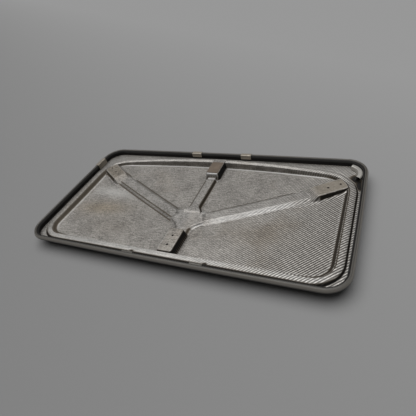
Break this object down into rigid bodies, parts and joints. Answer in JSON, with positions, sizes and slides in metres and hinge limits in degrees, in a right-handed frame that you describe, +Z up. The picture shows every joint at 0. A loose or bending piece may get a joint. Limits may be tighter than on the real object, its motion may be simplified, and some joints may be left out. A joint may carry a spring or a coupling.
{
  "type": "roof vent lid",
  "caption": "Rectangular pressed-steel roof vent lid seen from its inner side: hemmed skin, dished inner panel with a bead, branched brace, screw pads, rubber edge seal and spring clips.",
  "frame": {"origin": "lowest point of the outer skin, at the middle of the lid", "axes": "+X along the length, to the right when the single front pad is nearest; +Y from the front edge to the arched rear edge; +Z up, out of the inner side"},
  "size_m": [0.8608, 0.4548, 0.0429],
  "materials": {
    "skin_paint": "satin grey-brown primer",
    "coated_sheet": "zinc-coated sheet with a fine diagonal rolled pattern",
    "coated_brace": "zinc-coated pressing, smoother than the panel",
    "rest_pad": "matt, slightly rough",
    "plated_steel": "zinc plated",
    "seal_rubber": "matt black sponge rubber",
    "adhesive": "cured hem adhesive",
    "mastic": "soft mastic",
    "clip_steel": "phosphated spring steel"
  },
  "bodies": {
    "root": {"outer_skin": "skin_paint", "inner_panel": "coated_sheet", "hub_brace": "coated_brace", "left_brace_arm": "coated_brace", "right_brace_arm": "coated_brace", "rear_brace_arm": "coated_brace", "rear_rest_pad": "rest_pad", "front_nut_plate": "plated_steel", "left_nut_plate": "plated_steel", "right_nut_plate": "plated_steel", "perimeter_seal": "seal_rubber", "hem_adhesive": "adhesive", "anti_flutter_mastic": "mastic", "rear_left_clip": "clip_steel", "rear_right_clip": "clip_steel", "front_left_clip": "clip_steel", "front_right_clip": "clip_steel", "left_side_clip": "clip_steel", "right_corner_clip": "clip_steel"}
  },
  "joints": []
}
